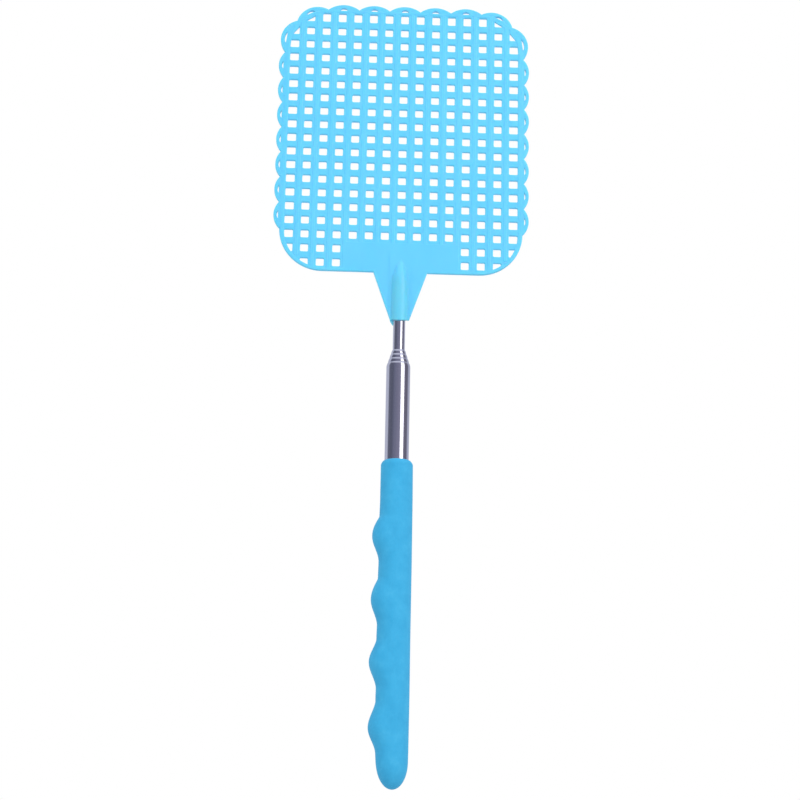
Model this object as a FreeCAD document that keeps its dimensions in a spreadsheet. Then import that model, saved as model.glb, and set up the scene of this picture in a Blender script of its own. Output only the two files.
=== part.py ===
import FreeCAD, Part
import math
import os
import Sketcher

# Telescopic fly swatter: a moulded lattice head on a five-section steel pole with a soft
# finger grip, shown pushed together. Millimetres, +Z up along the pole, the striking face
# towards -Y, the finger bumps towards -X. The origin is on the pole's axis, half way up
# the grip.

DIMENSIONS = {
    # pole: five drawn tubes, each one step thinner than the tube that holds it
    "base_tube_diameter": 8.5,
    "diameter_step": 1.05,
    "tube_wall": 0.25,
    "base_foot_height": -50.0,
    "base_mouth_height": 92.1,
    "mouth_stagger": 1.6,
    "roll_height": 1.5,
    "roll_depth": 0.28,
    "roll_radius": 4.2,
    "mouth_gap": 0.06,
    # lower end of every sliding section: plug, friction shoes and stop bead
    "slide_travel": 114.0,
    "stop_gap": 0.2,
    "bead_height": 1.2,
    "bead_gap": 0.07,
    "shoe_gap": 0.05,
    "shoe_end_gap": 0.2,
    "shoe_arc_degrees": 172.0,
    "plug_flange": 0.6,
    "plug_spigot": 3.4,
    "base_plug_spigot": 4.0,
    # tip section and the head's socket
    "socket_mouth_height": 108.4,
    "socket_depth": 15.0,
    # grip sleeve
    "grip_top_height": 56.7,
    "grip_radius": 5.75,
    "grip_offset": 0.35,
    "grip_chamfer_radial": 1.4,
    "grip_chamfer_axial": 1.1,
    "dome_start_height": -49.0,
    "dome_tip_height": -56.7,
    "dome_radius": 8.2,
    "bump_top_height": 30.1,
    "bump_pitch": 22.13,
    "bump_axis_out": 2.95,
    "bump_radius": 4.8,
    "bump_end_radius": 1.94,
    "bump_half_height": 7.0,
    "bump_curve": 10.0,
    # lattice of the head, measured from the middle of its middle hole
    "lattice_centre_height": 176.9,
    "column_pitch": 5.8,
    "row_pitch": 5.3,
    "hole_width": 2.9,
    "hole_height": 2.85,
    "top_row_extra": 0.4,
    "plate_thickness": 1.3,
    "rim_front": 0.8,
    "rib_width": 1.6,
    "rib_top": 50.2,
    "outer_rib_half_length": 46.4,
    # rim frame with its scalloped edge
    "frame_half_width": 44.0,
    "frame_top": 51.1,
    "frame_bottom": 50.9,
    "frame_radius": 15.7,
    "frame_side_band": 1.8,
    "frame_top_band": 1.3,
    "frame_foot_band": 1.2,
    "scallop_band": 1.45,
    "side_scallop_reach": 46.25,
    "side_scallop_radius": 7.18,
    "side_scallop_pitch": 9.73,
    "side_scallop_first": 28.25,
    "top_scallop_reach": 53.1,
    "top_scallop_radius": 9.26,
    "top_scallop_pitch": 11.37,
    "corner_scallop_radius": 7.95,
    "upper_corner_out": 32.3,
    "upper_corner_up": 44.1,
    "lower_corner_out": 37.9,
    "lower_corner_up": 38.5,
    # solid panel, gusset and socket boss below the lattice
    "panel_half_width": 20.3,
    "panel_top": 39.75,
    "gusset_top_half_width": 9.65,
    "gusset_foot_half_width": 3.5,
    "gusset_back": 0.9,
    "boss_radius": 3.0,
    "boss_shoulder": 56.0,
    "back_boss_shoulder": 54.8,
    "front_nose_top": 45.0,
    "back_nose_top": 51.2,
    "nose_curve": 22.0,
    "back_nose_curve": 3.6,
}

COLUMNS = 15
ROWS = 19
TOP_ROW_COLUMNS = 13
SIDE_SCALLOPS = 7
TOP_SCALLOPS = 5
FINGER_BUMPS = 4

# Height of the socket's mouth in the head's own frame.
HEAD_MOUTH = "(socket_mouth_height - lattice_centre_height)"

# One entry for each sliding section, from the thickest inwards: name and step number.
SLIDING_SECTIONS = (
    ("second_tube", 1),
    ("third_tube", 2),
    ("fourth_tube", 3),
    ("tip_tube", 4),
)

doc = FreeCAD.newDocument("FlySwatter")
sheet = doc.addObject("Spreadsheet::Sheet", "Sizes")
for row, (alias, value) in enumerate(DIMENSIONS.items(), start=1):
    sheet.set(f"A{row}", alias.replace("_", " "))
    sheet.set(f"B{row}", str(value))
    sheet.setAlias(f"B{row}", alias)
doc.recompute()

subparts = []


def cells(text):
    """An expression on the sheet's cells: each bare alias gets the sheet's name."""
    words = []
    word = ""
    for letter in text + " ":
        if letter.isalnum() or letter in "_.":
            word += letter
            continue
        words.append(f"Sizes.{word}" if word in DIMENSIONS else word)
        words.append(letter)
        word = ""
    return "".join(words).strip()


def size(text):
    """The number that an expression on the sheet's cells gives now."""
    return float(sheet.evalExpression(cells(text)))


def new_body(name):
    body = doc.addObject("PartDesign::Body", name)
    body.Label = name
    subparts.append(body)
    return body


def new_piece_of_head(name):
    """A body that becomes part of the head and is not written by itself."""
    body = doc.addObject("PartDesign::Body", name)
    body.Label = name
    return body


def new_sketch(body, name, role):
    """A sketch on one of the body's own origin planes."""
    sketch = body.newObject("Sketcher::SketchObject", name)
    plane = next(item for item in body.Origin.OriginFeatures if item.Role == role)
    sketch.AttachmentSupport = [(plane, "")]
    sketch.MapMode = "FlatFace"
    return sketch


def bind(sketch, constraint, text):
    """Add a sized constraint and tie it to the sheet."""
    index = sketch.addConstraint(constraint)
    sketch.setExpression(f"Constraints[{index}]", cells(text))


def arc_between(start, end, radius):
    """The shorter arc of |radius| from start to end, bulging left of the way for a positive radius."""
    chord = end.sub(start)
    middle = start.add(end).multiply(0.5)
    left = FreeCAD.Vector(-chord.y, chord.x, 0).normalize()
    reach = abs(radius)
    drop = (reach * reach - chord.Length * chord.Length / 4.0) ** 0.5
    side = 1.0 if radius > 0 else -1.0
    centre = middle.sub(left * (side * drop))
    top = centre.add(left * (side * reach))
    return Part.Arc(start, top, end)


def add_outline(sketch, corners):
    """Add one closed outline. Each corner is (x, y) or (x, y, radius) as expressions, and the
    radius bends the edge that leaves it."""
    points = [FreeCAD.Vector(size(corner[0]), size(corner[1]), 0) for corner in corners]
    first = sketch.GeometryCount
    count = len(corners)
    starts = []
    ends = []
    for index, corner in enumerate(corners):
        start = points[index]
        end = points[(index + 1) % count]
        if len(corner) == 2:
            sketch.addGeometry(Part.LineSegment(start, end), False)
            starts.append(1)
            ends.append(2)
            continue
        radius = size(corner[2])
        sketch.addGeometry(arc_between(start, end, radius), False)
        begins = sketch.getPoint(first + index, 1).distanceToPoint(start) < 1e-6
        starts.append(1 if begins else 2)
        ends.append(2 if begins else 1)
    for index in range(count):
        after = (index + 1) % count
        joint = Sketcher.Constraint("Coincident", first + index, ends[index], first + after, starts[after])
        sketch.addConstraint(joint)
    for index, corner in enumerate(corners):
        geometry = first + index
        for kind, value, text in (("DistanceX", points[index].x, corner[0]), ("DistanceY", points[index].y, corner[1])):
            bind(sketch, Sketcher.Constraint(kind, -1, 1, geometry, starts[index], value), text)
        if len(corner) == 3:
            bind(sketch, Sketcher.Constraint("Radius", geometry, abs(size(corner[2]))), f"abs({corner[2]})")


def add_rectangle(sketch, left, right, low, high):
    add_outline(sketch, [(left, low), (right, low), (right, high), (left, high)])


def add_circle(sketch, across, up, radius):
    centre = FreeCAD.Vector(size(across), size(up), 0)
    index = sketch.addGeometry(Part.Circle(centre, FreeCAD.Vector(0, 0, 1), size(radius)), False)
    bind(sketch, Sketcher.Constraint("DistanceX", -1, 1, index, 3, centre.x), across)
    bind(sketch, Sketcher.Constraint("DistanceY", -1, 1, index, 3, centre.y), up)
    bind(sketch, Sketcher.Constraint("Radius", index, size(radius)), radius)


def turn(body, name, sketch, kind="PartDesign::Revolution", angle=360.0, reverse=False):
    """Turn a half profile about the upright axis of its sketch."""
    feature = body.newObject(kind, name)
    feature.Profile = sketch
    feature.ReferenceAxis = (sketch, ["V_Axis"])
    feature.Angle = angle
    feature.Reversed = reverse
    sketch.Visibility = False
    body.Tip = feature
    doc.recompute()
    return feature


def pad(body, name, sketch, front, back):
    """Raise a sketch of the head's face from y = back to y = -front."""
    feature = body.newObject("PartDesign::Pad", name)
    feature.Profile = sketch
    feature.SideType = "Two sides"
    feature.setExpression("Length", cells(front))
    feature.setExpression("Length2", cells(back))
    body.Tip = feature
    doc.recompute()
    return feature


def pattern(body, name, original, sketch, axis, length, count, reverse=False, second=None):
    """Repeat a feature along one or two axes of its sketch."""
    feature = body.newObject("PartDesign::LinearPattern", name)
    feature.Originals = [original]
    feature.Direction = (sketch, [axis])
    feature.Reversed = reverse
    feature.setExpression("Length", cells(length))
    feature.Occurrences = count
    if second:
        feature.Direction2 = (sketch, [second[0]])
        feature.Reversed2 = second[3]
        feature.setExpression("Length2", cells(second[1]))
        feature.Occurrences2 = second[2]
    body.Tip = feature
    doc.recompute()
    return feature


# ---------------------------------------------------------------- pole


def outer_radius(step):
    return f"(base_tube_diameter - {step} * diameter_step) / 2"


def bore_radius(step):
    return f"({outer_radius(step)} - tube_wall)"


def mouth_height(step):
    return f"(base_mouth_height + {step} * mouth_stagger)"


def foot_height(step):
    """Underside of the plug flange of a sliding section, pushed right in."""
    rise = f"{step} * (plug_flange + plug_spigot + stop_gap) - plug_flange - plug_spigot"
    return f"(base_foot_height + base_plug_spigot + {rise})"


def bead_top(step):
    """Top of the stop bead, one travel below the rolled mouth that it meets when drawn out."""
    return f"({mouth_height(step - 1)} - roll_height - stop_gap - slide_travel)"


def rolled_mouth(step):
    """Corners of a tube's rolled-in upper end, from its outer shoulder to its inner one."""
    outside = outer_radius(step)
    inside = bore_radius(step)
    top = mouth_height(step)
    opening = f"({outer_radius(step + 1)} + mouth_gap)"
    return [
        (outside, f"{top} - roll_height", "-roll_radius"),
        (f"{outside} - roll_depth", top),
        (opening, top),
        (opening, f"{top} - roll_height + mouth_gap * 3"),
        (inside, f"{top} - roll_height - mouth_gap"),
    ]


def make_base_tube():
    """The outermost tube, held in the grip, with a plain lower end and a rolled mouth."""
    body = new_body("base_tube")
    profile = new_sketch(body, "base_tube_profile", "XZ_Plane")
    corners = [(bore_radius(0), "base_foot_height"), (outer_radius(0), "base_foot_height")]
    add_outline(profile, corners + rolled_mouth(0))
    turn(body, "base_tube_turned", profile)


def make_sliding_tube(name, step):
    """A sliding tube: plain foot over its plug, stop bead above the shoes, rolled mouth or,
    on the tip section, a plain end that the head's socket holds."""
    body = new_body(name)
    profile = new_sketch(body, f"{name}_profile", "XZ_Plane")
    outside = outer_radius(step)
    inside = bore_radius(step)
    foot = f"{foot_height(step)} + plug_flange"
    top = bead_top(step)
    bead = f"{bore_radius(step - 1)} - bead_gap"
    corners = [
        (inside, foot),
        (outside, foot),
        (outside, f"{top} - bead_height"),
        (bead, f"{top} - bead_height * 0.75"),
        (bead, f"{top} - bead_height * 0.25"),
        (outside, top),
    ]
    if name == "tip_tube":
        end = "socket_mouth_height + socket_depth"
        corners += [(outside, end), (inside, end)]
    else:
        corners += rolled_mouth(step)
    add_outline(profile, corners)
    turn(body, f"{name}_turned", profile)


def make_plug(name, flange_radius, spigot_radius, foot, flange, spigot):
    """A turned plug: a flange under the tube's end and a spigot pressed into its bore."""
    flange_disc = doc.addObject("Part::Cylinder", f"{name}_flange")
    flange_disc.setExpression("Radius", cells(flange_radius))
    flange_disc.setExpression("Height", cells(flange))
    spigot_disc = doc.addObject("Part::Cylinder", f"{name}_spigot")
    spigot_disc.setExpression("Radius", cells(spigot_radius))
    spigot_disc.setExpression("Height", cells(f"{flange} + {spigot}"))
    plug = doc.addObject("Part::Fuse", name)
    plug.Label = name
    plug.Base = flange_disc
    plug.Tool = spigot_disc
    plug.Refine = True
    plug.setExpression("Placement.Base.z", cells(foot))
    subparts.append(plug)


def make_shoe(name, step, turn_degrees):
    """One of the two half-round friction shoes between a section's bead and its plug."""
    low = f"({foot_height(step)} + plug_flange + shoe_end_gap)"
    high = f"({bead_top(step)} - bead_height - shoe_end_gap)"
    outside = doc.addObject("Part::Cylinder", f"{name}_outside")
    outside.setExpression("Radius", cells(f"{bore_radius(step - 1)} - shoe_gap"))
    outside.setExpression("Height", cells(f"{high} - {low}"))
    outside.setExpression("Angle", cells("shoe_arc_degrees"))
    inside = doc.addObject("Part::Cylinder", f"{name}_inside")
    inside.setExpression("Radius", cells(f"{outer_radius(step)} + shoe_gap"))
    inside.setExpression("Height", cells(f"{high} - {low}"))
    shoe = doc.addObject("Part::Cut", name)
    shoe.Label = name
    shoe.Base = outside
    shoe.Tool = inside
    shoe.Placement.Rotation = FreeCAD.Rotation(FreeCAD.Vector(0, 0, 1), turn_degrees)
    shoe.setExpression("Placement.Base.z", cells(low))
    subparts.append(shoe)


# ---------------------------------------------------------------- grip


def make_grip():
    """The soft sleeve: a slightly off-centre round body with a domed end, four finger bumps
    on its -X side and a blind bore for the base tube."""
    body = new_body("grip_sleeve")
    body.setExpression("Placement.Base.x", cells("grip_offset"))
    profile = new_sketch(body, "grip_profile", "XZ_Plane")
    corners = [
        ("0", "dome_tip_height", "-dome_radius"),
        ("grip_radius", "dome_start_height"),
        ("grip_radius", "grip_top_height - grip_chamfer_axial"),
        ("grip_radius - grip_chamfer_radial", "grip_top_height"),
        ("0", "grip_top_height"),
    ]
    add_outline(profile, corners)
    turn(body, "grip_body", profile)

    bump = new_sketch(body, "finger_bump_profile", "XZ_Plane")
    bump.setExpression("AttachmentOffset.Base.x", cells("-bump_axis_out - grip_offset"))
    bump.setExpression("AttachmentOffset.Base.y", cells("bump_top_height"))
    corners = [
        ("0", "-bump_half_height"),
        ("bump_end_radius", "-bump_half_height", "-bump_curve"),
        ("bump_end_radius", "bump_half_height"),
        ("0", "bump_half_height"),
    ]
    add_outline(bump, corners)
    turned = turn(body, "finger_bump", bump)
    length = f"{FINGER_BUMPS - 1} * bump_pitch"
    pattern(body, "finger_bumps", turned, bump, "V_Axis", length, FINGER_BUMPS, reverse=True)

    bore = new_sketch(body, "tube_bore", "XY_Plane")
    add_circle(bore, "-grip_offset", "0", "base_tube_diameter / 2")
    cut = body.newObject("PartDesign::Pocket", "tube_bore_cut")
    cut.Profile = bore
    cut.SideType = "Two sides"
    cut.setExpression("Length", cells("-base_foot_height + plug_flange"))
    cut.setExpression("Length2", cells("grip_top_height + grip_chamfer_axial"))
    body.Tip = cut
    doc.recompute()


# ---------------------------------------------------------------- head


def rounded_outline(side, top, bottom, radius):
    """An upright rectangle with rounded corners, its reach given on each side."""
    return [
        (f"-{side} + {radius}", f"-{bottom}"),
        (f"{side} - {radius}", f"-{bottom}", f"-{radius}"),
        (side, f"-{bottom} + {radius}"),
        (side, f"{top} - {radius}", f"-{radius}"),
        (f"{side} - {radius}", top),
        (f"-{side} + {radius}", top, f"-{radius}"),
        (f"-{side}", f"{top} - {radius}"),
        (f"-{side}", f"-{bottom} + {radius}", f"-{radius}"),
    ]


def frame_outline(share):
    """The rim frame's outline, moved inwards by a share of its band."""
    side = f"(frame_half_width - {share} * frame_side_band)"
    top = f"(frame_top - {share} * frame_top_band)"
    bottom = f"(frame_bottom - {share} * frame_foot_band)"
    radius = f"(frame_radius - {share} * frame_side_band)"
    return rounded_outline(side, top, bottom, radius)


def polar(out, up, radius, degrees):
    return (f"({out}) + ({radius}) * cos({degrees})", f"({up}) + ({radius}) * sin({degrees})")


def scallop_band(out, up, radius, first, last):
    """A curved band about (out, up), between two directions in degrees, clockwise."""
    inner = f"({radius} - scallop_band)"
    half = (first + last) / 2.0
    corners = [
        polar(out, up, radius, first) + (radius,),
        polar(out, up, radius, half) + (radius,),
        polar(out, up, radius, last),
        polar(out, up, inner, last) + (f"-{inner}",),
        polar(out, up, inner, half) + (f"-{inner}",),
        polar(out, up, inner, first),
    ]
    return corners


def end_angle(reach, radius, line):
    """Degrees from a scallop's crest to where it meets a line inside the frame."""
    centre = size(f"{reach} - {radius}")
    return round(math.degrees(math.acos((size(line) - centre) / size(radius))), 3)


def make_scallops(body, side):
    """The scalloped edge on one side of the head, side being -1 on the left and 1 on the right."""
    name = "left" if side < 0 else "right"
    facing = 180.0 if side < 0 else 0.0
    line = "frame_half_width - frame_side_band / 2"
    spread = end_angle("side_scallop_reach", "side_scallop_radius", line)
    sketch = new_sketch(body, f"{name}_scallop", "XZ_Plane")
    out = f"{side} * (side_scallop_reach - side_scallop_radius)"
    band = scallop_band(out, "side_scallop_first", "side_scallop_radius", facing + spread, facing - spread)
    add_outline(sketch, band)
    scallop = pad(body, f"{name}_scallop_pad", sketch, "rim_front", "plate_thickness / 2")
    length = f"{SIDE_SCALLOPS - 1} * side_scallop_pitch"
    pattern(body, f"{name}_scallops", scallop, sketch, "V_Axis", length, SIDE_SCALLOPS, reverse=True)

    corner = new_sketch(body, f"{name}_corner_scallops", "XZ_Plane")
    upper = (61.0, 170.0)
    lower = (100.0, 224.0)
    first, last = (upper[1], upper[0]) if side < 0 else (180.0 - upper[0], 180.0 - upper[1])
    out = f"{side} * upper_corner_out"
    add_outline(corner, scallop_band(out, "upper_corner_up", "corner_scallop_radius", first, last))
    pad(body, f"{name}_upper_corner_pad", corner, "rim_front", "plate_thickness / 2")
    corner = new_sketch(body, f"{name}_lower_corner_scallop", "XZ_Plane")
    first, last = (lower[1], lower[0]) if side < 0 else (180.0 - lower[0], 180.0 - lower[1])
    out = f"{side} * lower_corner_out"
    add_outline(corner, scallop_band(out, "lower_corner_up", "corner_scallop_radius", first, last))
    pad(body, f"{name}_lower_corner_pad", corner, "rim_front", "plate_thickness / 2")


def make_top_scallops(body):
    spread = end_angle("top_scallop_reach", "top_scallop_radius", "frame_top - frame_top_band / 2")
    sketch = new_sketch(body, "top_scallop", "XZ_Plane")
    up = "top_scallop_reach - top_scallop_radius"
    out = f"-{(TOP_SCALLOPS - 1) / 2} * top_scallop_pitch"
    add_outline(sketch, scallop_band(out, up, "top_scallop_radius", 90.0 + spread, 90.0 - spread))
    scallop = pad(body, "top_scallop_pad", sketch, "rim_front", "plate_thickness / 2")
    length = f"{TOP_SCALLOPS - 1} * top_scallop_pitch"
    pattern(body, "top_scallops", scallop, sketch, "H_Axis", length, TOP_SCALLOPS)


def boss_profile(body, name, shoulder, nose_top, curve):
    """Half profile of the socket boss: straight from the mouth up, then a pointed nose."""
    sketch = new_sketch(body, name, "XZ_Plane")
    corners = [
        ("0", HEAD_MOUTH),
        ("boss_radius", HEAD_MOUTH),
        ("boss_radius", f"-{shoulder}", f"-{curve}"),
        ("0", f"-{nose_top}"),
    ]
    add_outline(sketch, corners)
    return sketch


def make_lattice():
    """The pierced plate inside the rim, with a raised rib along every upright bar."""
    body = new_piece_of_head("head_lattice")
    plate = new_sketch(body, "plate", "XZ_Plane")
    add_outline(plate, frame_outline("0.5"))
    pad(body, "plate_pad", plate, "plate_thickness / 2", "plate_thickness / 2")

    ribs = new_sketch(body, "ribs", "XZ_Plane")
    for rib in range(1, COLUMNS):
        centre = f"{rib - COLUMNS / 2} * column_pitch"
        low, high = "-frame_bottom + frame_foot_band / 2", "rib_top"
        if abs(size(centre)) < size("panel_half_width - rib_width"):
            low = "-panel_top"
        if rib in (1, COLUMNS - 1):
            low, high = "-outer_rib_half_length", "outer_rib_half_length"
        add_rectangle(ribs, f"{centre} - rib_width / 2", f"{centre} + rib_width / 2", low, high)
    pad(body, "ribs_pad", ribs, "rim_front", "0")

    top_row = f"{(ROWS - 1) / 2} * row_pitch"
    cut_holes(body, "top_holes", top_row, "hole_height / 2 + top_row_extra", TOP_ROW_COLUMNS, 1)
    cut_holes(body, "holes", f"{top_row} - row_pitch", "hole_height / 2", COLUMNS, ROWS - 1)
    return body


def cut_holes(body, name, up, upper_reach, columns, rows):
    """Cut rows of square holes, the first row at height up, working downwards."""
    sketch = new_sketch(body, f"{name}_first", "XZ_Plane")
    first = f"-{(columns - 1) / 2} * column_pitch"
    left = f"{first} - hole_width / 2"
    right = f"{first} + hole_width / 2"
    add_rectangle(sketch, left, right, f"{up} - hole_height / 2", f"{up} + {upper_reach}")
    cut = body.newObject("PartDesign::Pocket", f"{name}_cut")
    cut.Profile = sketch
    cut.Midplane = True
    cut.setExpression("Length", cells("4 * rim_front"))
    body.Tip = cut
    doc.recompute()
    down = ("V_Axis", f"{rows - 1} * row_pitch", rows, True) if rows > 1 else None
    across = f"{columns - 1} * column_pitch"
    pattern(body, name, cut, sketch, "H_Axis", across, columns, second=down)


def make_rim():
    """The rim frame, its scalloped edge, the solid panel, the gusset and the socket boss."""
    body = new_piece_of_head("head_rim")
    back = "plate_thickness / 2"
    frame = new_sketch(body, "frame", "XZ_Plane")
    add_outline(frame, frame_outline("0"))
    add_outline(frame, frame_outline("1"))
    pad(body, "frame_pad", frame, "rim_front", back)
    make_scallops(body, -1)
    make_scallops(body, 1)
    make_top_scallops(body)

    panel = new_sketch(body, "panel", "XZ_Plane")
    panel_foot = "-frame_bottom + frame_foot_band / 2"
    add_rectangle(panel, "-panel_half_width", "panel_half_width", panel_foot, "-panel_top")
    pad(body, "panel_pad", panel, "rim_front", back)

    gusset = new_sketch(body, "gusset", "XZ_Plane")
    corners = [
        ("-gusset_foot_half_width", HEAD_MOUTH),
        ("gusset_foot_half_width", HEAD_MOUTH),
        ("gusset_top_half_width", "-frame_bottom"),
        ("-gusset_top_half_width", "-frame_bottom"),
    ]
    add_outline(gusset, corners)
    pad(body, "gusset_pad", gusset, "rim_front", "gusset_back")

    front = boss_profile(body, "front_boss", "boss_shoulder", "front_nose_top", "nose_curve")
    turn(body, "front_boss_turned", front, angle=180.0)
    rear = boss_profile(body, "back_boss", "back_boss_shoulder", "back_nose_top", "back_nose_curve")
    turn(body, "back_boss_turned", rear, angle=180.0, reverse=True)

    bore = new_sketch(body, "socket_bore", "XZ_Plane")
    add_rectangle(bore, "0", outer_radius(4), HEAD_MOUTH, f"{HEAD_MOUTH} + socket_depth")
    turn(body, "socket_bore_cut", bore, kind="PartDesign::Groove")
    return body


def make_head():
    """The one-piece moulded head. Its own frame is at the middle hole of the lattice."""
    lattice = make_lattice()
    rim = make_rim()
    head = doc.addObject("Part::Fuse", "swatter_head")
    head.Label = "swatter_head"
    head.Base = lattice
    head.Tool = rim
    head.Refine = True
    head.setExpression("Placement.Base.z", cells("lattice_centre_height"))
    subparts.append(head)


def main():
    make_base_tube()
    flange = outer_radius(0)
    foot = "base_foot_height - plug_flange"
    make_plug("base_tube_plug", flange, bore_radius(0), foot, "plug_flange", "base_plug_spigot")
    for name, step in SLIDING_SECTIONS:
        make_sliding_tube(name, step)
        flange = f"{bore_radius(step - 1)} - bead_gap"
        make_plug(f"{name}_plug", flange, bore_radius(step), foot_height(step), "plug_flange", "plug_spigot")
        spare = (180.0 - size("shoe_arc_degrees")) / 2.0
        make_shoe(f"{name}_left_shoe", step, 90.0 + spare)
        make_shoe(f"{name}_right_shoe", step, 270.0 + spare)
    make_grip()
    make_head()
    doc.recompute()
    check_and_write()


def check_and_write():
    """Stop on any failed object or shape, then write each sub-part to its own file."""
    for item in doc.Objects:
        if "Invalid" in item.State or "Error" in item.State:
            raise RuntimeError(f"{item.Name} failed: {item.State}")
    for item in subparts:
        shape = item.Shape
        if shape.isNull() or not shape.isValid() or len(shape.Solids) != 1:
            raise RuntimeError(f"{item.Label} is not one valid solid")
    os.makedirs("parts", exist_ok=True)
    for item in subparts:
        shape = item.Shape
        shape.exportStep(f"parts/{item.Label}.step")
        box = shape.BoundBox
        print(
            f"{item.Label}: volume {shape.Volume:.1f}, "
            f"x {box.XMin:.2f} {box.XMax:.2f}, y {box.YMin:.2f} {box.YMax:.2f}, "
            f"z {box.ZMin:.2f} {box.ZMax:.2f}"
        )


main()
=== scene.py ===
import math

import bmesh
import bpy
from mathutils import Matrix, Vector
from mathutils.geometry import tessellate_polygon


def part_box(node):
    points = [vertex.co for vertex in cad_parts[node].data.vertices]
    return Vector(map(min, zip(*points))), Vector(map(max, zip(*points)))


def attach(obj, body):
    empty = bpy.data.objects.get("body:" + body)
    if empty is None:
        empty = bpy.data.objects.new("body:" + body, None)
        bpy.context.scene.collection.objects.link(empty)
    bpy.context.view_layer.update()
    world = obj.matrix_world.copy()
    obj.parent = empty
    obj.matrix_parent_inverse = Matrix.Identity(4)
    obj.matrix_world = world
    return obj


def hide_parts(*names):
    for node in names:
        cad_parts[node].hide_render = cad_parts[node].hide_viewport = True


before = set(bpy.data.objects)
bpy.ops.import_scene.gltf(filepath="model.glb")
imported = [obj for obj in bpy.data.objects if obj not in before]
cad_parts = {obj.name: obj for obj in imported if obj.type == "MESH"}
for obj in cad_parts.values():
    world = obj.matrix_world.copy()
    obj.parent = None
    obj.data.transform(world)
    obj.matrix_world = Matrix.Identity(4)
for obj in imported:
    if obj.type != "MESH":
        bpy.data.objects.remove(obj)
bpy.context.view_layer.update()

# Telescopic fly swatter. All shapes are given in millimetres, in the frame of the CAD model,
# and are made in metres. +X is across the head, -Y its front, and +Z runs up the pole. The head
# is shaped round the middle hole of its lattice and moved into place when it is whole.

MM = 0.001

HEAD_RISE = 53.1  # from the middle of the lattice to the top scallops
head_low, head_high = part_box("swatter_head")
HEAD_CENTRE = head_high.z / MM - HEAD_RISE
SOCKET_MOUTH = head_low.z / MM - HEAD_CENTRE


# ------------------------------------------------------------------ mesh helpers


def make_object(name, verts, faces, angle=35.0):
    """A new object from millimetre points, its faces turned outwards and shaded smooth."""
    mesh = bpy.data.meshes.new(name)
    mesh.from_pydata([Vector(v) * MM for v in verts], [], faces)
    work = bmesh.new()
    work.from_mesh(mesh)
    bmesh.ops.recalc_face_normals(work, faces=work.faces)
    work.to_mesh(mesh)
    work.free()
    smooth(mesh, angle)
    piece = bpy.data.objects.new(name, mesh)
    bpy.context.scene.collection.objects.link(piece)
    return piece


def smooth(mesh, angle):
    mesh.polygons.foreach_set("use_smooth", [True] * len(mesh.polygons))
    mesh.set_sharp_from_angle(angle=math.radians(angle))


def inset(loop, distance):
    """The loop moved to the left of its own direction, which is into the solid."""
    count = len(loop)
    moved = []
    for i, (x, z) in enumerate(loop):
        ax, az = x - loop[i - 1][0], z - loop[i - 1][1]
        bx, bz = loop[(i + 1) % count][0] - x, loop[(i + 1) % count][1] - z
        la, lb = math.hypot(ax, az), math.hypot(bx, bz)
        na, nb = (-az / la, ax / la), (-bz / lb, bx / lb)
        scale = distance / (1.0 + na[0] * nb[0] + na[1] * nb[1])
        moved.append((x + (na[0] + nb[0]) * scale, z + (na[1] + nb[1]) * scale))
    return moved


def slab(name, loops, front, back, soft_front, soft_back=0.0, steps=4, pierced=False):
    """A flat piece facing -Y, from y = front to y = back, with edges rounded by soft_front and
    soft_back. Its loops are anticlockwise as seen in x, z. A pierced piece has one such loop
    and clockwise holes."""
    levels = []
    for k in range(steps + 1):
        turn = math.radians(90.0 * k / steps)
        if soft_back or k == steps:
            levels.append((soft_back * (1 - math.sin(turn)), back - soft_back * (1 - math.cos(turn))))
    for k in range(steps, -1, -1):
        turn = math.radians(90.0 * k / steps)
        if soft_front or k == steps:
            levels.append((soft_front * (1 - math.sin(turn)), front + soft_front * (1 - math.cos(turn))))
    verts, faces, first_cap, last_cap = [], [], [], []
    for loop in loops:
        start, size = len(verts), len(loop)
        for depth, y in levels:
            verts += [(x, y, z) for x, z in inset(loop, depth)]
        for level in range(len(levels) - 1):
            for i in range(size):
                a = start + level * size + i
                b = start + level * size + (i + 1) % size
                faces.append((a, b, b + size, a + size))
        first_cap.append(list(range(start, start + size)))
        last_cap.append(list(range(start + (len(levels) - 1) * size, start + len(levels) * size)))
    for cap in (first_cap, last_cap):
        if not pierced:
            faces += [tuple(loop) for loop in cap]
            continue
        flat = [index for loop in cap for index in loop]
        points = [[Vector((verts[i][0], verts[i][2], 0.0)) for i in loop] for loop in cap]
        faces += [tuple(flat[i] for i in triangle) for triangle in tessellate_polygon(points)]
    return make_object(name, verts, faces)


def arc(cx, cz, radius, first, last, steps):
    turns = [math.radians(first + (last - first) * k / steps) for k in range(steps + 1)]
    return [(cx + radius * math.cos(t), cz + radius * math.sin(t)) for t in turns]


def rounded(left, right, low, high, radius, steps=6):
    """A rounded rectangle, anticlockwise."""
    points = arc(right - radius, low + radius, radius, -90, 0, steps)
    points += arc(right - radius, high - radius, radius, 0, 90, steps)
    points += arc(left + radius, high - radius, radius, 90, 180, steps)
    points += arc(left + radius, low + radius, radius, 180, 270, steps)
    return points


def lathe(name, profile, segments=128, angle=30.0):
    """A closed ring turned about the pole's axis from a closed (radius, height) profile."""
    verts, faces = [], []
    count = len(profile)
    for s in range(segments):
        turn = 2.0 * math.pi * s / segments
        verts += [(r * math.cos(turn), r * math.sin(turn), z) for r, z in profile]
    for s in range(segments):
        here, after = s * count, ((s + 1) % segments) * count
        for i in range(count):
            j = (i + 1) % count
            faces.append((here + i, after + i, after + j, here + j))
    return make_object(name, verts, faces, angle)


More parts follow.
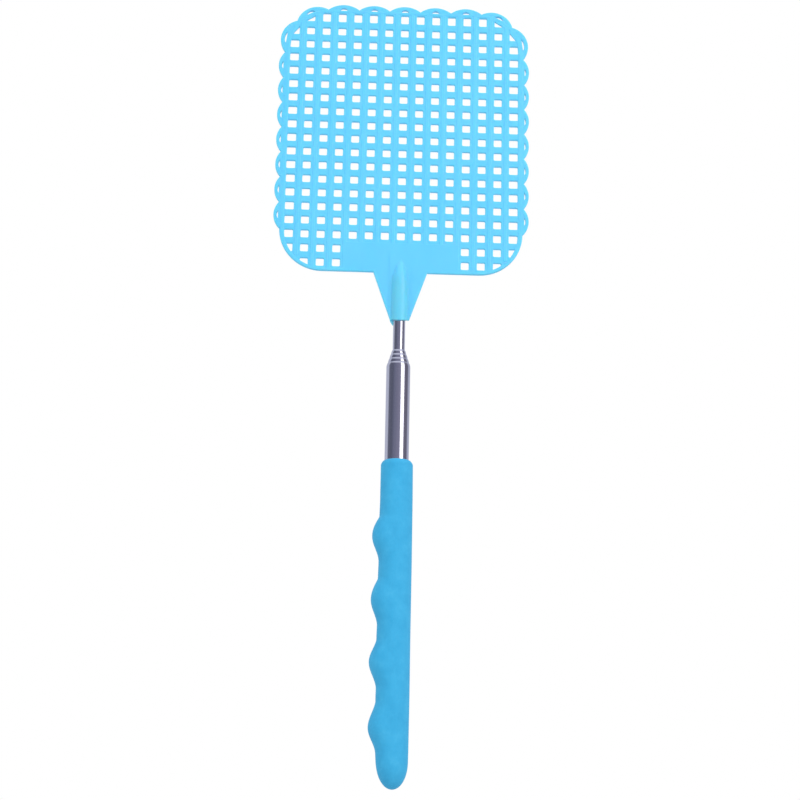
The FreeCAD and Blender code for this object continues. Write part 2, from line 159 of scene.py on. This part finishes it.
def combine(base, tool, operation="UNION"):
    """Join or cut one closed mesh with another, and drop the tool."""
    step = base.modifiers.new("combine", "BOOLEAN")
    step.operation = operation
    step.solver = "MANIFOLD"
    step.object = tool
    graph = bpy.context.evaluated_depsgraph_get()
    mesh = bpy.data.meshes.new_from_object(base.evaluated_get(graph), depsgraph=graph)
    base.modifiers.clear()
    base.data = mesh
    bpy.data.objects.remove(tool)
    return base


# ------------------------------------------------------------------ head

COLUMN_PITCH, ROW_PITCH = 5.8, 5.3
COLUMNS, ROWS = 15, 19
HOLE_WIDTH, OUTER_HOLE_WIDTH, HOLE_HEIGHT, HOLE_CORNER = 2.86, 3.2, 2.86, 0.45
OUTER_HOLE_GROWTH, TOP_HOLE_GROWTH = 0.06, 0.45
RIB_HALF_WIDTH = 0.8

# The frame: its outside half width, top, foot and corner radius, and its bands' widths.
SIDE, TOP, FOOT, CORNER = 44.0, 51.1, 50.9, 15.7
SIDE_BAND, TOP_BAND, FOOT_BAND = 1.8, 1.3, 1.2

# Depths of the lattice's front, of the frame's and ribs' front, and of the flat back.
PLATE_FRONT, FACE_FRONT, FACE_BACK = -0.65, -0.8, 0.65
WEB_FRONT, WEB_BACK = -0.74, 0.3
THROUGH = 3.0  # past every flat face of the head

# The scalloped edge. A slot is its direction, the distance of its straight side, its length
# and its width.
SCALLOP_BAND = 1.45
SIDE_SCALLOPS, SIDE_RADIUS, SIDE_REACH = 7, 7.18, 2.25
FIRST_SIDE_SCALLOP, SIDE_SCALLOP_PITCH = 28.25, 9.73
SIDE_SLOT = (180, 5.52, 3.0, 0.5)
TOP_SCALLOPS, TOP_RADIUS, TOP_REACH, TOP_SCALLOP_PITCH = 5, 9.26, 2.0, 11.37
TOP_SLOT = (90, 6.85, 2.9, 1.12)
CORNER_RADIUS = 7.95
LOWER_CORNER_SLOT, UPPER_CORNER_SLOT = (172, 5.8, 4.6, 0.72), (117, 5.85, 3.5, 1.05)

# The plain panel under the lattice, the gusset and the socket.
PANEL_HALF_WIDTH, PANEL_TOP = 20.4, -39.75
GUSSET_HALF_WIDTH, GUSSET_BACK = 9.65, 0.9
BOSS_RADIUS, BORE_RADIUS, BORE_DEPTH = 3.0, 2.17, 15.1


def frame_loop(share, steps=18):
    side = SIDE - share * SIDE_BAND
    top = TOP - share * TOP_BAND
    foot = FOOT - share * FOOT_BAND
    return rounded(-side, side, -foot, top, CORNER - share * SIDE_BAND, steps)


def lattice():
    """The pierced plate with a raised rib along every upright bar, cut to the rim's outline."""
    loops = [rounded(-SIDE - 3, SIDE + 3, -FOOT - 3, TOP + 3, 1.0, 2)]
    for row in range(ROWS):
        z = ((ROWS - 1) / 2 - row) * ROW_PITCH
        for column in range(COLUMNS):
            x = (column - (COLUMNS - 1) / 2) * COLUMN_PITCH
            outer = column in (0, COLUMNS - 1)
            half = (OUTER_HOLE_WIDTH if outer else HOLE_WIDTH) / 2
            growth = OUTER_HOLE_GROWTH if outer else 0.0
            low = z - HOLE_HEIGHT / 2 - growth
            high = z + HOLE_HEIGHT / 2 + growth + (TOP_HOLE_GROWTH if row == 0 else 0.0)
            hole = rounded(x - half, x + half, low, high, HOLE_CORNER, 4)
            loops.append(hole[::-1])
    plate = slab("plate", loops, PLATE_FRONT, FACE_BACK, 0.3, 0.22, pierced=True)
    edge = slab("edge", [frame_loop(0.5)], -THROUGH, THROUGH, 0.0)
    combine(plate, edge, "INTERSECT")
    ribs = []
    for rib in range(1, COLUMNS):
        x = (rib - COLUMNS / 2) * COLUMN_PITCH
        low, high = -FOOT + FOOT_BAND / 2, TOP - 0.9
        if abs(x) < PANEL_HALF_WIDTH - COLUMN_PITCH / 2:
            low = PANEL_TOP - 0.45
        if rib in (1, COLUMNS - 1):
            low, high = -45.6, 46.4
        ribs.append(rounded(x - RIB_HALF_WIDTH, x + RIB_HALF_WIDTH, low, high, 0.4, 4))
    return combine(plate, slab("ribs", ribs, FACE_FRONT, 0.0, 0.36))


def scallop(cx, cz, radius, first, last, slot, inside=()):
    """One scallop: its band, the thin web inside it and the slot in the web, all as loops.
    inside holds the corners of the web on the lattice's side."""
    band = arc(cx, cz, radius, first, last, 26)
    band += arc(cx, cz, radius - SCALLOP_BAND, last, first, 22)
    web = arc(cx, cz, radius - 0.5, first, last, 20) + list(inside)
    middle, out, length, width = slot
    curve = (length * length / 4 + width * width) / (2 * width)
    half = math.degrees(math.asin(length / 2 / curve))
    turn = math.radians(middle)
    far = out + width - curve
    x, z = cx + far * math.cos(turn), cz + far * math.sin(turn)
    return band, web, arc(x, z, curve, middle - half, middle + half, 16)


def mirrored(loops):
    return [[(-x, z) for x, z in reversed(loop)] for loop in loops]


def add_scallops(head):
    """The scalloped edge, in three sets so that neighbours are never in the same set."""
    sets = ([], [], [])
    for i in range(SIDE_SCALLOPS):
        z = FIRST_SIDE_SCALLOP - SIDE_SCALLOP_PITCH * i
        left = scallop(-SIDE - SIDE_REACH + SIDE_RADIUS, z, SIDE_RADIUS, 135, 225, SIDE_SLOT)
        sets[i % 2].extend((left, mirrored(left)))
    for i in range(TOP_SCALLOPS):
        x = TOP_SCALLOP_PITCH * (i - (TOP_SCALLOPS - 1) / 2)
        sets[i % 2].append(scallop(x, TOP + TOP_REACH - TOP_RADIUS, TOP_RADIUS, 51, 129, TOP_SLOT))
    inside = ((-42.6, 39.4), (-41.2, 41.3), (-39.1, 43.8))
    lower = scallop(-37.9, 38.5, CORNER_RADIUS, 100, 224, LOWER_CORNER_SLOT, inside)
    sets[2].extend((lower, mirrored(lower)))
    inside = ((-37.6, 45.5), (-36.0, 46.8), (-33.3, 48.4))
    upper = scallop(-32.3, 44.1, CORNER_RADIUS, 61, 170, UPPER_CORNER_SLOT, inside)
    sets[1].extend((upper, mirrored(upper)))
    for kind, front, back, soft in ((0, FACE_FRONT, FACE_BACK, 0.3), (1, WEB_FRONT, WEB_BACK, 0.0)):
        for members in sets:
            combine(head, slab("edge", [piece[kind] for piece in members], front, back, soft, soft))
    slots = [piece[2] for members in sets for piece in members]
    combine(head, slab("slots", slots, -THROUGH, THROUGH, 0.0), "DIFFERENCE")


def nose_radius(z, shoulder, top, curve):
    """Radius of the socket boss at a height: a soft lip, straight, then an arc in to a point."""
    if z <= shoulder:
        lift = max(0.0, 0.35 - (z - SOCKET_MOUTH)) / 0.35
        return BOSS_RADIUS - 0.3 * (1.0 - math.sqrt(max(0.0, 1.0 - lift * lift)))
    if z >= top:
        return 0.0
    chord = math.hypot(BOSS_RADIUS, top - shoulder)
    drop = math.sqrt(curve * curve - chord * chord / 4)
    ux, uz = (top - shoulder) / chord, BOSS_RADIUS / chord
    cx, cz = BOSS_RADIUS / 2 - ux * drop, (shoulder + top) / 2 - uz * drop
    return max(0.0, cx + math.sqrt(max(0.0, curve * curve - (z - cz) ** 2)))


def boss_reach(z):
    """Half the width of the boss's mesh at a height, inside the gusset's edges."""
    return min(3.9, 3.3 + 0.343 * (z - SOCKET_MOUTH))


def boss(name, facing, level, shoulder, top, curve):
    """Half of the socket boss, running out into the flat face at level with a small fillet."""
    across = [math.sin(math.radians(a)) for a in range(-90, 91, 3)]
    heights = [SOCKET_MOUTH + (top + 1.0 - SOCKET_MOUTH) * k / 96 for k in range(1, 97)]
    heights = [SOCKET_MOUTH + lift for lift in (0.0, 0.03, 0.08, 0.16)] + heights
    verts, faces = [], []
    wide = len(across)
    for z in heights:
        radius = nose_radius(z, shoulder, top, curve)
        for share in across:
            x = share * boss_reach(z)
            round_part = math.sqrt(max(0.0, radius * radius - x * x))
            rise = (round_part + level + math.sqrt((round_part - level) ** 2 + 0.3 ** 2)) / 2
            slant = 0.3 * facing * rise * max(0.0, 1.0 - (z - SOCKET_MOUTH) / 3.0)
            verts.append((x, facing * rise, z + slant))
    surface = len(verts)
    for z in heights:
        verts += [(share * boss_reach(z), facing * 0.2, z) for share in across]
    for k in range(len(heights) - 1):
        for i in range(wide - 1):
            a = k * wide + i
            faces.append((a, a + 1, a + 1 + wide, a + wide))
            faces.append(tuple(surface + v for v in (a, a + wide, a + 1 + wide, a + 1)))
        for i in (0, wide - 1):
            a, b = k * wide + i, (k + 1) * wide + i
            faces.append((a, b, surface + b, surface + a))
    for k in (0, len(heights) - 1):
        for i in range(wide - 1):
            a = k * wide + i
            faces.append((a, a + 1, surface + a + 1, surface + a))
    return make_object(name, verts, faces)


def ring(radius, z, segments):
    turns = [2 * math.pi * s / segments for s in range(segments)]
    return [(radius * math.cos(t), radius * math.sin(t), z) for t in turns]


def cylinder(name, radius, low, high, segments=96):
    verts = ring(radius, low, segments) + ring(radius, high, segments)
    faces = []
    for s in range(segments):
        after = (s + 1) % segments
        faces.append((s, after, segments + after, segments + s))
    faces += [tuple(range(segments)), tuple(range(segments, 2 * segments))]
    return make_object(name, verts, faces)


def add_foot(head):
    """The plain panel, the gusset, the socket with its boss, and the mould flash at its mouth."""
    panel = rounded(-PANEL_HALF_WIDTH, PANEL_HALF_WIDTH, -FOOT + 0.6, PANEL_TOP, 0.5, 4)
    combine(head, slab("panel", [panel], FACE_FRONT, FACE_BACK, 0.3, 0.1))
    wide = GUSSET_HALF_WIDTH
    gusset = [(-3.5, SOCKET_MOUTH + 0.3), (3.5, SOCKET_MOUTH - 0.05), (wide, -FOOT),
              (wide, -FOOT + 0.9), (-wide, -FOOT + 0.9), (-wide, -FOOT)]
    combine(head, slab("gusset", [gusset], FACE_FRONT, GUSSET_BACK, 0.35, 0.35))
    combine(head, boss("front_boss", -1.0, 0.96, -56.0, -45.0, 22.0))
    combine(head, boss("back_boss", 1.0, 0.86, -54.8, -51.2, 3.6))
    flash = [(-3.45, SOCKET_MOUTH - 0.1), (-3.2, SOCKET_MOUTH - 0.9), (-2.3, SOCKET_MOUTH - 2.2),
             (-2.2, SOCKET_MOUTH - 2.1), (-2.2, SOCKET_MOUTH + 0.5), (-3.3, SOCKET_MOUTH + 0.5)]
    combine(head, slab("flash", [flash], -0.3, 0.3, 0.08, 0.08, 2))
    bore = cylinder("bore", BORE_RADIUS, SOCKET_MOUTH - 4.0, SOCKET_MOUTH + BORE_DEPTH)
    combine(head, bore, "DIFFERENCE")


def make_head():
    head = lattice()
    bands = [frame_loop(0), frame_loop(1)[::-1]]
    combine(head, slab("rim", bands, FACE_FRONT, FACE_BACK, 0.4, 0.3, pierced=True))
    add_scallops(head)
    add_foot(head)
    clean = bmesh.new()
    clean.from_mesh(head.data)
    bmesh.ops.remove_doubles(clean, verts=clean.verts, dist=0.0005 * MM)
    bmesh.ops.dissolve_degenerate(clean, dist=0.0005 * MM, edges=clean.edges)
    bmesh.ops.translate(clean, verts=clean.verts, vec=(0.0, 0.0, HEAD_CENTRE * MM))
    clean.to_mesh(head.data)
    clean.free()
    head.name = "head_moulding"
    head.data.name = "head_moulding"
    smooth(head.data, 32.0)
    weigh = head.modifiers.new("normals", "WEIGHTED_NORMAL")
    weigh.keep_sharp = True
    weigh.weight = 80
    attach(head, "tip_section")
    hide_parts("swatter_head")
    return head


# ------------------------------------------------------------------ pole

BASE_RADIUS, STEP, WALL = 4.25, 0.525, 0.25
ROLL_HEIGHT, ROLL_DEPTH, LIP, MOUTH_GAP = 1.5, 0.35, 0.1, 0.06
BASE_TOP, MOUTH_STEP, TRAVEL, STOP_GAP, BEAD_GAP = 92.1, 1.6, 114.0, 0.2, 0.07


def rolled_mouth(top, outside, opening):
    """Outer shoulder, rounded lip and inner step of a tube's rolled-in end."""
    curve = (ROLL_HEIGHT ** 2 + ROLL_DEPTH ** 2) / (2 * ROLL_DEPTH)
    points = []
    for k in range(13):
        rise = (ROLL_HEIGHT - LIP) * k / 12
        points.append((outside - curve + math.sqrt(curve ** 2 - rise ** 2), top - ROLL_HEIGHT + rise))
    edge = points[-1][0]
    for a in (30, 45, 60, 75, 90):
        turn = math.radians(a)
        points.append((edge - LIP * (1 - math.cos(turn)), top - LIP * (1 - math.sin(turn))))
    points += [(opening, top - 0.05), (opening, top - 1.25), (outside - WALL, top - 1.6)]
    return points


def bead_top(step):
    """The stop bead's top: one travel and a little under the roll of the tube outside it."""
    return BASE_TOP + MOUTH_STEP * (step - 1) - ROLL_HEIGHT - STOP_GAP - TRAVEL


def make_tube(name, step, body):
    """A drawn tube with the CAD part's heights, much finer than its facets."""
    low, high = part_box(name)
    low, high = low.z / MM, high.z / MM
    outside = BASE_RADIUS - step * STEP
    inside = outside - WALL
    profile = [(inside, low), (outside, low)]
    if step:
        top = bead_top(step)
        wide = outside + STEP - WALL - BEAD_GAP
        profile += [(outside, top - 1.2), (wide, top - 0.9), (wide, top - 0.3), (outside, top)]
    if name == "tip_tube":
        profile += [(outside, high), (inside, high)]
    else:
        profile += rolled_mouth(high, outside, outside - STEP + MOUTH_GAP)
    tube = lathe(name + "_steel", profile)
    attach(tube, body)
    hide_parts(name)
    return tube


# ------------------------------------------------------------------ grip

GRIP_TOP, GRIP_FOOT = 56.7, -56.7
ROUNDED_TOP = 1.5  # height of the rounding at the sleeve's mouth
DOME_START, FINE_START = -47.0, -50.0  # where the butt's dome begins, and its finer rings
SLEEVE_BORE, BORE_FOOT = 4.27, -50.6
BUMP_SPREAD = 84.0  # degrees round the sleeve to each side of the bumps' middle
SWELL, SWELL_REACH = 0.1, 6.5

# Height, reach beyond the round body, upper flank, its sharpness and lower flank of each bump.
BUMPS = (
    (29.9, 2.45, 6.7, 0.9, 9.2),
    (7.7, 2.36, 7.3, 1.05, 9.4),
    (-13.9, 2.58, 8.5, 1.8, 9.4),
    (-36.2, 2.62, 9.9, 1.9, 8.8),
)

# Height and offset of the sleeve's middle line, which leans away from the bumps.
LEAN = (
    (57, 0.14), (43, 0.21), (20, 0.20), (-4, 0.14),
    (-26, 0.22), (-45, 0.28), (-50, 0.42), (-57, 0.55),
)

# Height and radius of the sleeve without its bumps.
GIRTH = (
    (57, 5.62), (43, 5.68), (20, 5.76), (-4, 5.78),
    (-26, 5.75), (-44, 5.62), (-49, 5.45), (-57, 5.3),
)


def along(table, z):
    """The value at a height, on the straight line between the two entries round it."""
    for (z1, v1), (z0, v0) in zip(table, table[1:]):
        if z >= z0:
            t = min(1.0, max(0.0, (z - z0) / (z1 - z0)))
            return v0 + (v1 - v0) * t
    return table[-1][1]


def grip_radius(z):
    girth = along(GIRTH, z)
    if z > GRIP_TOP - ROUNDED_TOP:
        t = (z - (GRIP_TOP - ROUNDED_TOP)) / ROUNDED_TOP
        girth -= 1.35 * (0.35 * t + 0.65 * (1 - math.sqrt(max(0.0, 1 - t * t))))
    if z < DOME_START:
        t = (DOME_START - z) / (DOME_START - GRIP_FOOT)
        girth *= max(0.0, 1 - t ** 2.2) ** 0.5
    return girth


def bump_rise(z):
    """How far the bumps' middle stands out at a height, with a faint swell above each."""
    rise = 0.0
    for height, reach, upper, sharp, lower in BUMPS:
        if 0.0 <= z - height < upper:
            rise = max(rise, reach * math.cos(math.pi / 2 * (z - height) / upper) ** sharp)
        if 0.0 < height - z < lower:
            rise = max(rise, reach * math.cos(math.pi / 2 * (height - z) / lower) ** 2)
        swell = abs(z - height - upper + 0.5) / SWELL_REACH
        if swell < 1.0:
            rise = max(rise, SWELL * math.cos(math.pi / 2 * swell) ** 2)
    return rise


def grip_levels():
    """Heights of the sleeve's rings from its mouth to its butt, closer at both ends."""
    shoulder, even_rings, dome_rings = GRIP_TOP - ROUNDED_TOP, 210, 40
    levels = [GRIP_TOP - ROUNDED_TOP * (1 - math.cos(math.radians(a))) for a in range(0, 91, 9)]
    for k in range(1, even_rings + 1):
        levels.append(shoulder - (shoulder - FINE_START) * k / even_rings)
    for k in range(1, dome_rings):
        turn = math.pi / 2 * k / dome_rings
        levels.append(FINE_START + (GRIP_FOOT - FINE_START) * math.sin(turn))
    return levels


def make_grip():
    segments = 144
    levels = grip_levels()
    faces = []
    verts = ring(SLEEVE_BORE, BORE_FOOT, segments)
    verts += ring(SLEEVE_BORE, GRIP_TOP - 0.35, segments)
    for z in levels:
        lean, girth, rise = along(LEAN, z), grip_radius(z), bump_rise(z)
        for s in range(segments):
            turn = 2 * math.pi * s / segments
            away = math.degrees(abs(math.remainder(turn - math.pi, 2 * math.pi)))
            share = 0.0
            if away < BUMP_SPREAD:
                share = 0.5 + 0.5 * math.cos(math.radians(away * 180 / BUMP_SPREAD))
            reach = girth + rise * share ** 0.8
            verts.append((lean + reach * math.cos(turn), reach * math.sin(turn), z))
    rings = len(levels) + 2
    for k in range(rings - 1):
        for s in range(segments):
            a, b = k * segments + s, k * segments + (s + 1) % segments
            faces.append((a, b, b + segments, a + segments))
    verts.append((along(LEAN, GRIP_FOOT), 0.0, GRIP_FOOT))
    tip, last = len(verts) - 1, (rings - 1) * segments
    faces += [(last + s, last + (s + 1) % segments, tip) for s in range(segments)]
    faces.append(tuple(range(segments)))
    grip = make_object("grip_foam", verts, faces, 50.0)
    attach(grip, "handle")
    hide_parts("grip_sleeve")
    return grip


# ------------------------------------------------------------------ materials


class Nodes:
    """Short names for building one material's node tree."""

    def __init__(self, name):
        self.material = bpy.data.materials.new(name)
        self.material.use_nodes = True
        self.tree = self.material.node_tree
        self.shader = self.tree.nodes["Principled BSDF"]
        self.place = self.tree.nodes.new("ShaderNodeTexCoord").outputs["Object"]

    def link(self, output, target):
        self.tree.links.new(output, target)

    def set(self, **values):
        for key, value in values.items():
            self.shader.inputs[key.replace("_", " ")].default_value = value

    def scaled(self, scale):
        node = self.tree.nodes.new("ShaderNodeMapping")
        node.inputs["Scale"].default_value = scale
        self.link(self.place, node.inputs["Vector"])
        return node.outputs["Vector"]

    def noise(self, scale, detail=3.0, stretch=None, rough=0.5):
        node = self.tree.nodes.new("ShaderNodeTexNoise")
        node.inputs["Scale"].default_value = scale
        node.inputs["Detail"].default_value = detail
        node.inputs["Roughness"].default_value = rough
        self.link(self.scaled(stretch or (1, 1, 1)), node.inputs["Vector"])
        return node.outputs["Fac"]

    def cells(self, scale):
        node = self.tree.nodes.new("ShaderNodeTexVoronoi")
        node.inputs["Scale"].default_value = scale
        self.link(self.place, node.inputs["Vector"])
        return node.outputs["Distance"]

    def range(self, value, low, high, new_low, new_high):
        node = self.tree.nodes.new("ShaderNodeMapRange")
        node.inputs["From Min"].default_value = low
        node.inputs["From Max"].default_value = high
        node.inputs["To Min"].default_value = new_low
        node.inputs["To Max"].default_value = new_high
        self.link(value, node.inputs["Value"])
        return node.outputs["Result"]

    def ramp(self, value, *stops):
        node = self.tree.nodes.new("ShaderNodeValToRGB")
        bar = node.color_ramp
        while len(bar.elements) < len(stops):
            bar.elements.new(0.5)
        for element, (position, colour) in zip(bar.elements, stops):
            element.position = position
            element.color = (*colour, 1.0)
        self.link(value, node.inputs["Fac"])
        return node.outputs["Color"]

    def bump(self, height, distance, strength, under=None):
        node = self.tree.nodes.new("ShaderNodeBump")
        node.inputs["Distance"].default_value = distance
        node.inputs["Strength"].default_value = strength
        self.link(height, node.inputs["Height"])
        if under:
            self.link(under, node.inputs["Normal"])
        return node.outputs["Normal"]


def head_plastic():
    """Soft glossy polyethylene: even sky blue, faint flow marks and a fine moulded grain."""
    m = Nodes("head_plastic")
    flow = m.noise(60.0, 4.0, (1.0, 1.0, 0.5))
    colour = m.ramp(flow, (0.3, (0.13, 0.605, 0.93)), (0.7, (0.15, 0.63, 0.96)))
    m.link(colour, m.shader.inputs["Base Color"])
    m.link(m.range(m.noise(900.0, 3.0), 0.3, 0.7, 0.30, 0.40), m.shader.inputs["Roughness"])
    fine = m.bump(m.noise(2600.0, 2.0), 0.00003, 0.35)
    m.link(m.bump(m.noise(160.0, 2.0), 0.0002, 0.15, fine), m.shader.inputs["Normal"])
    m.set(IOR=1.5, Subsurface_Weight=0.6, Subsurface_Radius=(0.25, 0.8, 1.0), Subsurface_Scale=0.002)
    return m.material


def grip_foam():
    """Fine closed-cell foam: matt, with a dusty skin of small cells and a little mottling."""
    m = Nodes("grip_foam")
    mottle = m.noise(220.0, 5.0, None, 0.6)
    dark, middle, light = (0.033, 0.375, 0.69), (0.044, 0.42, 0.745), (0.063, 0.47, 0.79)
    colour = m.ramp(mottle, (0.25, dark), (0.55, middle), (0.8, light))
    m.link(colour, m.shader.inputs["Base Color"])
    cells = m.bump(m.range(m.cells(2600.0), 0.0, 0.6, 0.0, 1.0), 0.00006, 0.5)
    m.link(m.bump(m.noise(900.0, 4.0), 0.00012, 0.5, cells), m.shader.inputs["Normal"])
    m.link(m.range(m.noise(1500.0), 0.3, 0.7, 0.72, 0.86), m.shader.inputs["Roughness"])
    m.set(IOR=1.4, Sheen_Weight=0.25, Sheen_Roughness=0.4)
    m.shader.inputs["Sheen Tint"].default_value = (0.45, 0.85, 1.0, 1.0)
    return m.material


def drawn_metal(name, shade, rough):
    """Polished drawn metal: fine lengthwise draw lines in gloss and relief."""
    m = Nodes(name)
    lines = m.noise(1.0, 4.0, (5200.0, 5200.0, 40.0), 0.6)
    light = tuple(min(1.0, c * 1.06) for c in shade)
    m.link(m.ramp(lines, (0.3, shade), (0.7, light)), m.shader.inputs["Base Color"])
    m.link(m.range(lines, 0.3, 0.7, *rough), m.shader.inputs["Roughness"])
    m.link(m.bump(lines, 0.000004, 0.5), m.shader.inputs["Normal"])
    m.set(Metallic=1.0)
    return m.material


def nylon():
    """Natural moulded nylon, for the plugs inside the pole."""
    m = Nodes("plug_nylon")
    colour = m.ramp(m.noise(500.0), (0.3, (0.78, 0.77, 0.72)), (0.7, (0.84, 0.83, 0.78)))
    m.link(colour, m.shader.inputs["Base Color"])
    m.link(m.bump(m.noise(2500.0), 0.00004, 0.3), m.shader.inputs["Normal"])
    m.set(Roughness=0.5)
    return m.material


def paint(piece, material):
    piece.data.materials.clear()
    piece.data.materials.append(material)


# ------------------------------------------------------------------ light, floor, camera


# What the pole mirrors from each side: degrees round the part, 0 at the front and 90 at +X.
ROOM = (
    (-180, (0.58, 0.60, 0.72)),
    (-106, (0.66, 0.69, 0.82)),
    (-94, (0.17, 0.18, 0.24)),
    (-55, (0.13, 0.14, 0.20)),
    (-34, (0.20, 0.21, 0.30)),
    (20, (0.30, 0.29, 0.40)),
    (74, (0.20, 0.19, 0.25)),
    (100, (0.17, 0.17, 0.23)),
    (116, (0.55, 0.57, 0.70)),
    (180, (0.58, 0.60, 0.72)),
)
OVERHEAD, SOFT_GREY, WHITE = (0.76, 0.78, 0.92, 1.0), (0.72, 0.72, 0.72, 1.0), (1.0, 1.0, 1.0, 1.0)


def make_world():
    """A studio round the part: mirrored, it is dark in front, where the room is, and pale behind
    and overhead. It lights evenly, and it is white where the camera sees it."""
    world = bpy.data.worlds.new("studio")
    bpy.context.scene.world = world
    world.use_nodes = True
    tree = world.node_tree
    tree.nodes.clear()
    add = tree.nodes.new

    def maths(kind, a, b=None):
        node = add("ShaderNodeMath")
        node.operation = kind
        for socket, value in zip(node.inputs, (a, b)):
            if value is None:
                continue
            if isinstance(value, (int, float)):
                socket.default_value = value
            else:
                tree.links.new(value, socket)
        return node.outputs[0]

    split = add("ShaderNodeSeparateXYZ")
    tree.links.new(add("ShaderNodeTexCoord").outputs["Generated"], split.inputs[0])
    turn = maths("ARCTAN2", split.outputs["X"], maths("MULTIPLY", split.outputs["Y"], -1.0))
    share = maths("ADD", maths("DIVIDE", turn, 2 * math.pi), 0.5)
    ramp = add("ShaderNodeValToRGB")
    bar = ramp.color_ramp
    while len(bar.elements) < len(ROOM):
        bar.elements.new(0.5)
    for element, (degrees, colour) in zip(bar.elements, ROOM):
        element.position = degrees / 360.0 + 0.5
        element.color = (*colour, 1.0)
    tree.links.new(share, ramp.inputs["Fac"])
    lift = add("ShaderNodeMapRange")
    lift.interpolation_type = "SMOOTHSTEP"
    lift.inputs["From Min"].default_value = 0.60
    lift.inputs["From Max"].default_value = 0.80
    tree.links.new(split.outputs["Z"], lift.inputs["Value"])
    overhead = add("ShaderNodeMix")
    overhead.data_type = "RGBA"
    overhead.inputs["B"].default_value = OVERHEAD
    tree.links.new(lift.outputs["Result"], overhead.inputs["Factor"])
    tree.links.new(ramp.outputs["Color"], overhead.inputs["A"])
    path = add("ShaderNodeLightPath")
    soft = add("ShaderNodeMix")
    soft.data_type = "RGBA"
    soft.inputs["A"].default_value = SOFT_GREY
    tree.links.new(path.outputs["Is Glossy Ray"], soft.inputs["Factor"])
    tree.links.new(overhead.outputs["Result"], soft.inputs["B"])
    seen = add("ShaderNodeMix")
    seen.data_type = "RGBA"
    seen.inputs["B"].default_value = WHITE
    tree.links.new(path.outputs["Is Camera Ray"], seen.inputs["Factor"])
    tree.links.new(soft.outputs["Result"], seen.inputs["A"])
    background = add("ShaderNodeBackground")
    tree.links.new(seen.outputs["Result"], background.inputs["Color"])
    tree.links.new(background.outputs[0], add("ShaderNodeOutputWorld").inputs["Surface"])


def area_light(name, azimuth, elevation, distance, width, height, power, aim=(0.0, 0.0, 0.09)):
    """A softbox that faces the part. Azimuth 0 is the side the camera is on, 90 is +X."""
    lamp = bpy.data.lights.new(name, "AREA")
    lamp.shape = "RECTANGLE"
    lamp.size, lamp.size_y = width, height
    lamp.energy = power
    piece = bpy.data.objects.new(name, lamp)
    bpy.context.scene.collection.objects.link(piece)
    a, e = math.radians(azimuth), math.radians(elevation)
    way = Vector((math.sin(a) * math.cos(e), -math.cos(a) * math.cos(e), math.sin(e)))
    piece.location = Vector(aim) + way * distance
    piece.rotation_euler = way.to_track_quat("Z", "Y").to_euler()
    return piece


def make_floor():
    reach, level = 6000, -260
    corners = ((-reach, -reach), (reach, -reach), (reach, reach), (-reach, reach))
    floor = make_object("floor", [(x, y, level) for x, y in corners], [(0, 1, 2, 3)])
    m = Nodes("floor_white")
    colour = m.ramp(m.noise(3.0), (0.3, (0.84, 0.84, 0.84)), (0.7, (0.87, 0.87, 0.87)))
    m.link(colour, m.shader.inputs["Base Color"])
    m.set(Roughness=0.7)
    paint(floor, m.material)
    return floor


def spare_floor(lamps, floor):
    """The lamps light the part only, so that the floor shows no pool of light."""
    unlit = bpy.data.collections.new("unlit")
    unlit.objects.link(floor)
    unlit.collection_objects[0].light_linking.link_state = "EXCLUDE"
    for lamp in lamps:
        lamp.light_linking.receiver_collection = unlit


def make_camera():
    """A long lens in front of the part, a little below it and looking up."""
    data = bpy.data.cameras.new("camera")
    data.lens = 90.0
    data.sensor_width = 36.0
    data.clip_start = 0.02
    data.clip_end = 50.0
    camera = bpy.data.objects.new("camera", data)
    bpy.context.scene.collection.objects.link(camera)
    camera.location = (-0.02195, -0.68332, -0.10114)
    camera.rotation_euler = tuple(math.radians(a) for a in (104.751, -1.062, -2.187))
    bpy.context.scene.camera = camera


# ------------------------------------------------------------------ build

SECTIONS = (
    ("base_tube", "handle"),
    ("second_tube", "second_section"),
    ("third_tube", "third_section"),
    ("fourth_tube", "fourth_section"),
    ("tip_tube", "tip_section"),
)

make_camera()
plastic, foam = head_plastic(), grip_foam()
bright = drawn_metal("polished_steel", (0.60, 0.60, 0.66), (0.10, 0.17))
white, brass = nylon(), drawn_metal("shoe_brass", (0.72, 0.52, 0.22), (0.25, 0.35))
paint(make_head(), plastic)
paint(make_grip(), foam)
for number, (node, body) in enumerate(SECTIONS):
    paint(make_tube(node, number, body), bright)
for name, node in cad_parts.items():
    if name.endswith("plug"):
        paint(node, white)
    if name.endswith("shoe"):
        paint(node, brass)
paint(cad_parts["swatter_head"], plastic)
paint(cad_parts["grip_sleeve"], foam)
for node, body in SECTIONS:
    paint(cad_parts[node], bright)

make_world()
floor = make_floor()
right = area_light("right_softbox", 43, 7, 1.1, 0.62, 1.7, 7.3)
above = area_light("top_softbox", -8, 60, 1.1, 1.1, 0.6, 2.2)
left = area_light("left_fill", -58, 10, 1.2, 0.8, 1.2, 3.2)
above.visible_glossy = left.visible_glossy = False
spare_floor((right, left), floor)
bpy.context.scene.view_settings.view_transform = "Standard"
